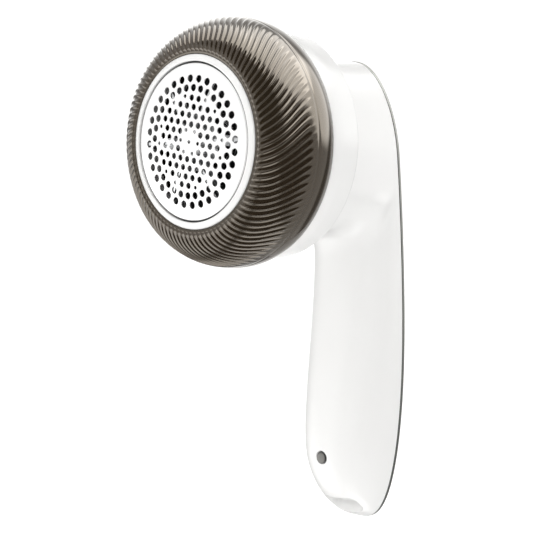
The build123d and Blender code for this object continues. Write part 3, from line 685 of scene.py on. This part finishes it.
def handle_shell():
    shell = handle_solid("handle_shell", handle_field, -BAND_DEEP, NECK_FRONT_Y)
    cavity = handle_solid("cavity", lambda x, v, z: handle_field(x, v, z) + WALL, -0.4, NECK_FRONT_Y + 2)
    liner = prism(
        "liner",
        rectangle(POCKET_WIDE + 3, POCKET_TALL + 3, 3),
        [(0, -12), (0, POCKET_DEEP + 1.5)],
        into_pocket,
    )
    combine(cavity, liner, "DIFFERENCE")
    combine(shell, cavity, "DIFFERENCE")
    mouth = prism(
        "mouth",
        rectangle(POCKET_WIDE, POCKET_TALL, 2.4),
        [(-1.5, -8), (-0.35, 0.2), (0, 0.9), (0, POCKET_DEEP - 0.4), (0.4, POCKET_DEEP)],
        into_pocket,
    )
    combine(shell, mouth, "DIFFERENCE")
    socket_well = prism(
        "socket_well",
        rectangle(9.1, 3.3, 1.6),
        [(0, POCKET_DEEP - 1), (0, POCKET_DEEP + 4)],
        into_pocket,
    )
    combine(shell, socket_well, "DIFFERENCE")
    lens_hole = prism(
        "lens_hole",
        circle(LENS_RADIUS + 0.08),
        [(-0.25, 50), (-0.25, 58.3), (0, 58.65), (0, 63)],
        facing_back(0, LENS_Z),
    )
    combine(shell, lens_hole, "DIFFERENCE")
    tidy(shell)
    dress(shell, "white_gloss", "handle", "handle_front_shell")


def light_lens():
    rise = 0.25
    profile = [(0.0, LENS_FACE_Y - rise)]
    profile += [(r, LENS_FACE_Y - rise + 0.06 * r * r / 4) for r in (0.7, 1.3, 1.8)]
    profile += [(LENS_RADIUS - 0.12, LENS_FACE_Y - 0.12), (LENS_RADIUS, LENS_FACE_Y + 0.15)]
    profile += [(LENS_RADIUS, 60.4), (2.9, 60.4), (2.9, 61.0), (0.0, 61.0)]
    lens = revolve("light_lens_face", profile, 64, (0, LENS_Z), closed=False)
    dress(lens, "lens_grey", "handle", "light_lens")


# ---------------------------------------------------------------- back of the handle


ARCH_POINTS = 90
SIDE_POINTS = 20


def back_outline():
    """The edge of the handle seen from behind, as (x, z) points running round it."""
    arch = arc_points((0, ARCH_Z), (GRIP_HALF, NECK_ARCH[1]), 0, 180, ARCH_POINTS)
    side = [(-GRIP_HALF, z) for z in np.linspace(ARCH_Z, TAPER_Z, SIDE_POINTS)[1:]]
    heel = []
    for angle in np.linspace(0, math.pi / 2, ARCH_POINTS)[1:]:
        low = math.sin(angle) ** (2 / 3)
        out = math.cos(angle) ** (2 / 3)
        heel.append((-GRIP_HALF * out, TAPER_Z - TAPER_LENGTH * low))
    left = side + heel
    right = [(-x, z) for x, z in left[-2::-1]]
    return np.array(arch + left + right, float)


def along_back(levels):
    """Section points as closed rings that follow the bowed back."""
    outline = back_outline()
    return [
        [(x, back_at(z) + height, z) for x, z in shrink(outline, inset)]
        for inset, height in levels
    ]


def ring_faces(rings, count, closed):
    """Quads between neighbouring rings of count points each; closed joins the last to the first."""
    faces = []
    last = rings if closed else rings - 1
    for k in range(last):
        for i in range(count):
            j = (i + 1) % count
            n = (k + 1) % rings
            faces.append((k * count + i, k * count + j, n * count + j, n * count + i))
    return faces


def trim_band():
    corners = [(0, -BAND_DEEP), (0, 0), (BAND_WIDE, 0), (BAND_WIDE, -BAND_DEEP)]
    rings = along_back(rounded(corners, 0.45))
    points = [p for ring in rings for p in ring]
    band = piece("trim_band_ring", points, ring_faces(len(rings), len(rings[0]), True))
    dress(band, "trim_satin", "handle", "trim_band")


KNOB_Z = -40.0
KNOB_BASE_Y = 82.3
KNOB_TOP_Y = 84.2
KNOB_RIBS = 5
KNOB_RIB_PITCH = 2.2
RECESS_Z = -38.0
RECESS_WIDE = 12.4
RECESS_TALL = 21.6
RECESS_FLOOR_Y = 82.0
SCREW_PLACES = ((10.4, 6.0), (12.1, -66.0))
COUNTERBORE_RADIUS = 2.4
COUNTERBORE_DEEP = 1.7


def back_cover():
    edge = BAND_WIDE + COVER_GAP
    levels = [(edge, -BAND_DEEP), (edge, COVER_PROUD - 0.35), (edge + 0.12, COVER_PROUD - 0.1)]
    levels += [(edge + 0.4, COVER_PROUD)]
    rings = along_back(levels)
    count = len(rings[0])
    points = [p for ring in rings for p in ring]
    faces = ring_faces(len(rings), count, False)
    inner = (len(rings) - 1) * count
    faces += cap_faces(inner, count)
    faces += cap_faces(0, count)
    cover = piece("back_cover_plate", points, faces)
    recess = prism(
        "recess",
        rectangle(RECESS_WIDE, RECESS_TALL, 4.5, 12),
        [(0.35, RECESS_FLOOR_Y), (0, RECESS_FLOOR_Y + 0.35), (0, 82.5), (-1.5, 84)],
        facing_back(0, RECESS_Z),
    )
    combine(cover, recess, "DIFFERENCE")
    slot = prism("slot", rectangle(5.4, 12, 1.2), [(0, 78), (0, 84)], facing_back(0, RECESS_Z))
    combine(cover, slot, "DIFFERENCE")
    for x, z in SCREW_PLACES:
        for side in (-1, 1):
            top = float(back_at(z)) + COVER_PROUD
            bore = prism(
                "bore",
                circle(COUNTERBORE_RADIUS),
                [(0, top - COUNTERBORE_DEEP), (0, top - 0.3), (-0.3, top), (-0.3, top + 1)],
                facing_back(side * x, z),
            )
            combine(cover, bore, "DIFFERENCE")
    tidy(cover)
    dress(cover, "white_gloss", "handle", "back_cover")


def cap_faces(start, count):
    """Closes a ring that is the same left and right, in strips from side to side."""
    top = (ARCH_POINTS - 1) // 2
    faces = []
    for k in range(count // 2):
        a = (top - k) % count
        b = (top + 1 + k) % count
        c = (top + 2 + k) % count
        d = (top - k - 1) % count
        corners = [start + a, start + b, start + c, start + d]
        if len(set(corners)) > 2:
            faces.append(tuple(dict.fromkeys(corners)))
        if c == d or b == d:
            break
    return faces


def switch_knob():
    base = KNOB_BASE_Y
    top = KNOB_TOP_Y
    knob = prism(
        "switch_knob_cap",
        rectangle(11, 16, 3.4, 10),
        [(0.2, base), (0, base + 0.2), (0, top - 0.7), (0.2, top - 0.25), (0.7, top)],
        facing_back(0, KNOB_Z),
    )
    for k in range(KNOB_RIBS):
        rib = prism(
            "rib",
            rectangle(7.4, 0.9, 0.44, 6),
            [(0, top - 0.4), (0, top + 0.2), (0.15, top + 0.42), (0.32, top + 0.5)],
            facing_back(0, KNOB_Z + (k - KNOB_RIBS // 2) * KNOB_RIB_PITCH),
        )
        combine(knob, rib, "UNION")
    tidy(knob)
    dress(knob, "trim_satin", "power_slide", "switch_knob")


# ---------------------------------------------------------------- head

POST_ANGLES = (90, 210, 330)
POST_CIRCLE = 30.0


def drum():
    """The round head housing: outer wall, spigot for the lint ring, back wall and posts."""
    outer = [(37.3, 25.15), (38.7, 25.15), (38.8, 30), (38.55, 36.8), (38.15, 37.6), (37.2, 38.0)]
    spigot = [(13.2, 38.0), (13.2, 36.2), (36.6, 36.2), (36.6, 30.0), (35.2, 28.8)]
    spigot += [(35.2, 27.5), (33.8, 27.5), (33.8, 26.0), (35.2, 26.0), (35.2, 22.6), (36.5, 22.6)]
    spigot += [(36.5, 25.15)]
    wall = revolve("drum_wall", rounded(outer + spigot, 0.35, 4), 256)
    posts = []
    for angle in POST_ANGLES:
        turn = math.radians(angle)
        spot = (POST_CIRCLE * math.cos(turn), POST_CIRCLE * math.sin(turn))
        profile = [(1.0, 26.05), (2.6, 26.05), (2.6, 36.4), (1.0, 36.4)]
        posts.append(revolve("post", profile, 40, spot))
    body = join("drum_housing", wall, *posts)
    dress(body, "white_gloss", "handle", "head_housing")


def ring_profile(share):
    """The lint ring's outer skin at shares of its length: length, radius, y and outward direction."""
    lip_step = RING_INNER - LIP[0]
    fine = [(LIP[0] + lip_step * t, LIP[1] * (1 - t)) for t in np.linspace(0, 1, 12)]
    fine += [
        (RING_INNER + BULGE_OUT * math.sin(t), BULGE_LONG * (1 - math.cos(t)))
        for t in np.linspace(0, math.pi / 2, 240)[1:]
    ]
    end = math.asin((RING_REAR_Y - BULGE_LONG) / REAR_LONG)
    widest = RING_INNER + BULGE_OUT
    fine += [
        (widest - REAR_DROP * (1 - math.cos(t)), BULGE_LONG + REAR_LONG * math.sin(t))
        for t in np.linspace(0, end, 80)[1:]
    ]
    fine = np.array(fine)
    gaps = np.linalg.norm(np.diff(fine, axis=0), axis=1)
    along = np.concatenate([[0], np.cumsum(gaps)])
    at = along[-1] * share
    radius = np.interp(at, along, fine[:, 0])
    y = np.interp(at, along, fine[:, 1])
    dr = np.gradient(radius, at)
    dy = np.gradient(y, at)
    size = np.hypot(dr, dy)
    return at, radius, y, dy / size, -dr / size


def rib_sweep(along):
    """Angle by which the ribs have swung round at a length along the skin, in degrees."""
    lean = 0.95
    swing = 1.1
    start = 1.7
    wave = 22.0
    return lean * (along - start) - swing * np.sin(TURN * (along - start) / wave)


def lint_ring():
    """Ribbed bulged ring: narrow rounded ridges that swing round as they go back."""
    lip_rows = np.linspace(0, 0.1, 12)
    rib_rows = np.linspace(0.1, 0.75, 62)
    rear_rows = np.linspace(0.75, 1, 18)
    rows = np.concatenate([lip_rows[:-1], rib_rows[:-1], rear_rows])
    along, radius, y, out_r, out_y = ring_profile(rows)
    inside_rib = np.arange(RIB_STEPS) / RIB_STEPS
    columns = (np.arange(RIB_COUNT)[:, None] + inside_rib[None, :]).ravel() / RIB_COUNT * TURN
    ridge = np.tile((0.5 - 0.5 * np.cos(inside_rib * TURN)) ** RIB_POWER, RIB_COUNT)
    envelope = smooth((along - RIB_START) / RIB_RISE)
    envelope *= 1 - smooth((along - RIB_FADE_START) / RIB_FADE)
    ticks = 0.35 * smooth((along - 0.9) / 0.3) * (1 - smooth((along - 1.5) / 0.5))
    groove = 0.18 * np.exp(-(((along - 1.05) / 0.22) ** 2))
    crease = 0.12 * np.exp(-(((along - 22.6) / 0.3) ** 2))
    swing = np.radians(rib_sweep(np.minimum(along, RIB_FADE_START + RIB_FADE)))
    lift = RIB_HEIGHT * (envelope + ticks)[:, None] * (ridge[None, :] - RIB_SINK)
    lift -= (groove + crease)[:, None]
    r = radius[:, None] + out_r[:, None] * lift
    level = y[:, None] + out_y[:, None] * lift
    angle = columns[None, :] + swing[:, None]
    outer = np.stack([r * np.cos(angle), level, r * np.sin(angle)], -1)
    last = angle[-1]
    inner_profile = [(38.75, 25.0), (37.25, 25.0), (37.25, 21.8), (37.9, 21.0), (39.2, 16.5)]
    inner_profile += [(38.0, 11.5), (35.2, 6.6), (32.6, 3.8), (30.8, 2.5)]
    inner_profile += [(30.2, 2.6), (30.2, 12.0), (28.6, 12.0), (28.6, 0.6)]
    inner = [
        np.stack([a * np.cos(last), b + 0 * last, a * np.sin(last)], -1) for a, b in inner_profile
    ]
    grid = np.concatenate([outer, np.array(inner)])
    count = len(columns)
    faces = ring_faces(len(grid), count, True)
    ring = piece("lint_ring_skin", grid.reshape(-1, 3), faces, 40)
    dress(ring, "smoke_plastic", "container", "lint_container")


def foil_holes():
    """(x, z, radius) of every hole: two rows round the rim and a hexagonal field inside."""
    holes = []
    for k in range(RIM_HOLES):
        for row, radius, offset in RIM_ROWS:
            angle = TURN * (k + offset) / RIM_HOLES
            holes.append((row * math.cos(angle), row * math.sin(angle), radius))
    cosine = math.cos(math.radians(HOLE_TURN))
    sine = math.sin(math.radians(HOLE_TURN))
    for i in range(-5, 6):
        for j in range(-5, 6):
            order = i * i + i * j + j * j
            if order > 21:
                continue
            pitch = INNER_HOLES_RADIUS if order == 1 else HOLE_PITCH
            x = pitch * (i + j / 2)
            z = pitch * j * math.sqrt(3) / 2
            radius = HOLE_RADIUS if 2 < order < 21 else SMALL_HOLE_RADIUS
            holes.append((x * cosine - z * sine, x * sine + z * cosine, radius))
    return holes


def dome_y(x, z):
    return DOME_APEX_Y + DOME_RADIUS - np.sqrt(DOME_RADIUS**2 - x * x - z * z)


def circle_row(flat, x, z, front, back, count, offset=0.0):
    """Adds a circle of plan points, each with its radius on the front and on the back face."""
    row = []
    for k in range(count):
        angle = TURN * (k + offset) / count
        row.append(len(flat))
        flat.append((x, z, front, back, math.cos(angle), math.sin(angle)))
    return row


def foil_triangles(flat, loops):
    """Triangles that fill the foil's plan between its closed loops, without the holes."""
    plan = [Vector((x + front * c, z + front * s)) for x, z, front, back, c, s in flat]
    edges = []
    for loop in loops:
        edges += [(loop[k], loop[(k + 1) % len(loop)]) for k in range(len(loop))]
    points, _, faces, *_ = geometry.delaunay_2d_cdt(plan, edges, [], 0, 1e-6)
    assert len(points) == len(flat)
    holes = np.array(foil_holes())
    kept = []
    for face in faces:
        middle = sum((points[i] for i in face), Vector((0, 0))) / 3
        gap = np.hypot(holes[:, 0] - middle.x, holes[:, 1] - middle.y) - holes[:, 2]
        if gap.min() > HOLE_CHAMFER * 0.9 and middle.length < FOIL_EDGE:
            kept.append(tuple(face))
    return kept


def foil_edge_section():
    """(radius, y) points of the foil's rolled edge, from the front face round to the back."""
    low = float(dome_y(FOIL_EDGE, 0)) + FOIL_ROLL
    out = FOIL_EDGE + FOIL_ROLL
    small = FOIL_ROLL - FOIL_THICK
    section = arc_points((FOIL_EDGE, low), (FOIL_ROLL, FOIL_ROLL), -75, 0, 6)
    section += [(out, FOIL_SKIRT_Y), (out - FOIL_THICK, FOIL_SKIRT_Y)]
    section += arc_points((FOIL_EDGE, low), (small, small), 0, -75, 5)
    return section


def foil():
    """Thin domed plate with chamfered holes and a rolled edge, as one closed skin."""
    flat = []
    loops = []
    for x, z, radius in foil_holes():
        loops.append(circle_row(flat, x, z, radius + HOLE_CHAMFER, radius, HOLE_SIDES))
    rim = circle_row(flat, 0, 0, FOIL_EDGE, FOIL_EDGE, FOIL_SIDES)
    for radius, count in ((24.2, 120), (23.4, 110), (22.6, 100)):
        circle_row(flat, 0, 0, radius, radius, count, 0.5)
    triangles = foil_triangles(flat, loops + [rim])

    def level(index, radius, drop):
        p = flat[index]
        x = p[0] + radius * p[4]
        z = p[1] + radius * p[5]
        return (x, float(dome_y(x, z)) + drop, z)

    points = [level(i, p[2], 0) for i, p in enumerate(flat)]
    points += [level(i, p[3], FOIL_THICK) for i, p in enumerate(flat)]
    back = len(flat)
    faces = triangles + [tuple(i + back for i in reversed(t)) for t in triangles]
    for loop in loops:
        start = len(points)
        points += [level(i, flat[i][3], HOLE_CHAMFER) for i in loop]
        for k in range(HOLE_SIDES):
            n = (k + 1) % HOLE_SIDES
            faces.append((loop[k], loop[n], start + n, start + k))
            faces.append((start + k, start + n, loop[n] + back, loop[k] + back))
    rows = [rim]
    for radius, y in foil_edge_section():
        rows.append([len(points) + k for k in range(FOIL_SIDES)])
        points += [(radius * flat[i][4], y, radius * flat[i][5]) for i in rim]
    rows.append([i + back for i in rim])
    for above, below in zip(rows, rows[1:]):
        for k in range(FOIL_SIDES):
            n = (k + 1) % FOIL_SIDES
            faces.append((above[k], above[n], below[n], below[k]))
    plate = piece("foil_plate", points, faces, 30)
    dress(plate, "foil_steel", "foil_unit", "foil")


def foil_ring():
    """White ring that carries the foil, with three bayonet lugs."""
    corners = [(26.1, 3.1), (26.1, -0.5), (26.3, -0.76), (26.8, -0.8), (27.9, -0.35), (28.38, 0.05)]
    corners += [(28.4, 1.2), (28.2, 1.4), (28.2, 9.0), (26.9, 9.0), (26.9, 3.4)]
    ring = revolve("foil_ring_band", rounded(corners, 0.25, 5), 256)
    lugs = []
    for angle in POST_ANGLES:
        span = np.radians(np.linspace(angle - 5, angle + 5, 9))
        points = [
            (r * math.cos(t), y, r * math.sin(t))
            for t in span
            for r, y in ((28.0, 6.0), (29.3, 6.0), (29.3, 7.8), (28.0, 7.8))
        ]
        faces = [(0, 1, 2, 3), tuple(len(points) - 4 + k for k in range(4))]
        for k in range(len(span) - 1):
            for i in range(4):
                j = (i + 1) % 4
                faces.append((4 * k + i, 4 * k + j, 4 * k + 4 + j, 4 * k + 4 + i))
        lugs.append(piece("lug", points, faces))
    band = join("foil_ring_rim", ring, *lugs)
    dress(band, "white_gloss", "foil_unit", "foil_ring")


# ---------------------------------------------------------------- studio

CAMERA_AZIMUTH = 45.189
CAMERA_ELEVATION = 1.795
CAMERA_ROLL = -0.802
CAMERA_DISTANCE = 600.0
CAMERA_SHIFT = (23.777, -40.343)
CAMERA_LENS = 125.18


def camera_axes():
    """Right, up and back directions of the camera."""
    a = math.radians(CAMERA_AZIMUTH)
    e = math.radians(CAMERA_ELEVATION)
    roll = math.radians(CAMERA_ROLL)
    back = Vector((math.sin(a) * math.cos(e), -math.cos(a) * math.cos(e), math.sin(e)))
    level = Vector((math.cos(a), math.sin(a), 0))
    up = back.cross(level)
    right = level * math.cos(roll) + up * math.sin(roll)
    return right, up * math.cos(roll) - level * math.sin(roll), back


def camera():
    right, up, back = camera_axes()
    data = bpy.data.cameras.new("camera")
    data.lens = CAMERA_LENS
    data.sensor_width = 36
    data.clip_start = 0.01
    data.clip_end = 20
    obj = bpy.data.objects.new("camera", data)
    bpy.context.scene.collection.objects.link(obj)
    where = right * CAMERA_SHIFT[0] + up * CAMERA_SHIFT[1] + back * CAMERA_DISTANCE
    turn = Matrix((right, up, back)).transposed().to_4x4()
    obj.matrix_world = Matrix.Translation(where * MM) @ turn
    bpy.context.scene.camera = obj


def toward(side, height):
    """A direction seen from the object, in degrees right of the camera and above level."""
    right, up, back = camera_axes()
    ahead = Vector((back.x, back.y, 0)).normalized()
    a = math.radians(side)
    e = math.radians(height)
    level = ahead * math.cos(a) + right * math.sin(a)
    return level * math.cos(e) + Vector((0, 0, 1)) * math.sin(e)


class Sky:
    """Builds the studio's surroundings as a node tree: soft-edged round patches of light and dark."""

    def __init__(self):
        self.world = bpy.data.worlds.new("studio")
        self.world.use_nodes = True
        self.tree = self.world.node_tree
        self.tree.nodes.clear()
        self.where = self.tree.nodes.new("ShaderNodeTexCoord").outputs["Generated"]

    def patch(self, side, height, reach, soft, amount):
        """A round patch: amount within reach degrees of a direction, fading out over soft degrees."""
        dot = self.tree.nodes.new("ShaderNodeVectorMath")
        dot.operation = "DOT_PRODUCT"
        dot.inputs[1].default_value = toward(side, height)
        self.tree.links.new(self.where, dot.inputs[0])
        fade = self.tree.nodes.new("ShaderNodeMapRange")
        fade.interpolation_type = "SMOOTHSTEP"
        fade.inputs["From Min"].default_value = math.cos(math.radians(min(180, reach + soft)))
        fade.inputs["From Max"].default_value = math.cos(math.radians(reach))
        fade.inputs["To Max"].default_value = amount
        self.tree.links.new(dot.outputs["Value"], fade.inputs["Value"])
        return fade.outputs["Result"]

    def combine(self, operation, first, second):
        """A maths node on two values, each a number or another node's output."""
        node = self.tree.nodes.new("ShaderNodeMath")
        node.operation = operation
        for socket, value in zip(node.inputs, (first, second)):
            if isinstance(value, (int, float)):
                socket.default_value = value
            else:
                self.tree.links.new(value, socket)
        return node.outputs["Value"]

    def total(self, base, patches):
        """An even brightness with patches added to it."""
        value = base
        for side, height, reach, soft, amount in patches:
            patch = self.patch(side, height, reach, soft, amount)
            value = self.combine("ADD", value, patch)
        return value

    def finish(self, soft, sharp):
        """The world: even soft light for matt surfaces, the patches as seen in glossy ones."""
        path = self.tree.nodes.new("ShaderNodeLightPath")
        seen = self.tree.nodes.new("ShaderNodeMix")
        self.tree.links.new(path.outputs["Is Glossy Ray"], seen.inputs["Factor"])
        self.tree.links.new(soft, seen.inputs["A"])
        self.tree.links.new(sharp, seen.inputs["B"])
        plain = self.tree.nodes.new("ShaderNodeMix")
        self.tree.links.new(path.outputs["Is Camera Ray"], plain.inputs["Factor"])
        self.tree.links.new(seen.outputs["Result"], plain.inputs["A"])
        plain.inputs["B"].default_value = 1.1
        light = self.tree.nodes.new("ShaderNodeBackground")
        light.inputs["Color"].default_value = (1.0, 0.995, 0.985, 1)
        self.tree.links.new(plain.outputs["Result"], light.inputs["Strength"])
        out = self.tree.nodes.new("ShaderNodeOutputWorld")
        self.tree.links.new(light.outputs["Background"], out.inputs["Surface"])
        bpy.context.scene.world = self.world


# Each patch: degrees right of the camera, degrees up, reach, softness, amount.
# What lights matt surfaces: dimmer from the left, from below right and from above right.
SOFT_LIGHT = 1.52
SOFT_PATCHES = (
    (-90, 0, 20, 75, -0.4),
    (60, -35, 20, 55, -0.05),
    (75, 50, 20, 45, -1.2),
)
# What glossy surfaces mirror: softboxes above, at the right, behind, at the left and below,
# then three dim zones behind the object.
SHARP_LIGHT = 0.9
SHARP_PATCHES = (
    (60, 75, 36, 8, 4.6),
    (98, 28, 24, 10, 3.4),
    (165, 5, 25, 20, 1.0),
    (-105, -30, 26, 8, 1.8),
    (0, -90, 20, 8, 2.2),
    (-160, 25, 22, 8, 0.4),
    (135, -15, 22, 8, -0.7),
    (-160, -20, 32, 18, -0.45),
)
# The dark room behind the camera.
DARK_ROOM = (3, -4, 58, 5, -0.96)


def world():
    """White studio with a dark room behind the camera."""
    sky = Sky()
    soft = sky.total(SOFT_LIGHT, SOFT_PATCHES)
    sharp = sky.total(SHARP_LIGHT, SHARP_PATCHES)
    sharp = sky.combine("MULTIPLY", sharp, sky.total(1.0, (DARK_ROOM,)))
    sky.finish(soft, sharp)


def floor():
    """A wide pale floor below the heel, left out of reflections so that they show the studio."""
    level = -170.0
    size = 6000.0
    points = [(-size, -size, level), (size, -size, level), (size, size, level), (-size, size, level)]
    obj = piece("floor", points, [(0, 1, 2, 3)])
    made = Finish("floor_white", (0.97, 0.97, 0.97), 0.8)
    made.tint((0.97, 0.97, 0.97), depth=0.005, scale=2.0)
    made.surface.inputs["Emission Color"].default_value = (1, 1, 1, 1)
    made.surface.inputs["Emission Strength"].default_value = 0.15
    obj.data.materials.append(made.material)
    obj.visible_glossy = False


# ---------------------------------------------------------------- build

handle_shell()
light_lens()
trim_band()
back_cover()
switch_knob()
drum()
lint_ring()
foil()
foil_ring()
dress_cad_nodes()

world()
floor()
camera()
bpy.context.scene.view_settings.view_transform = "Standard"
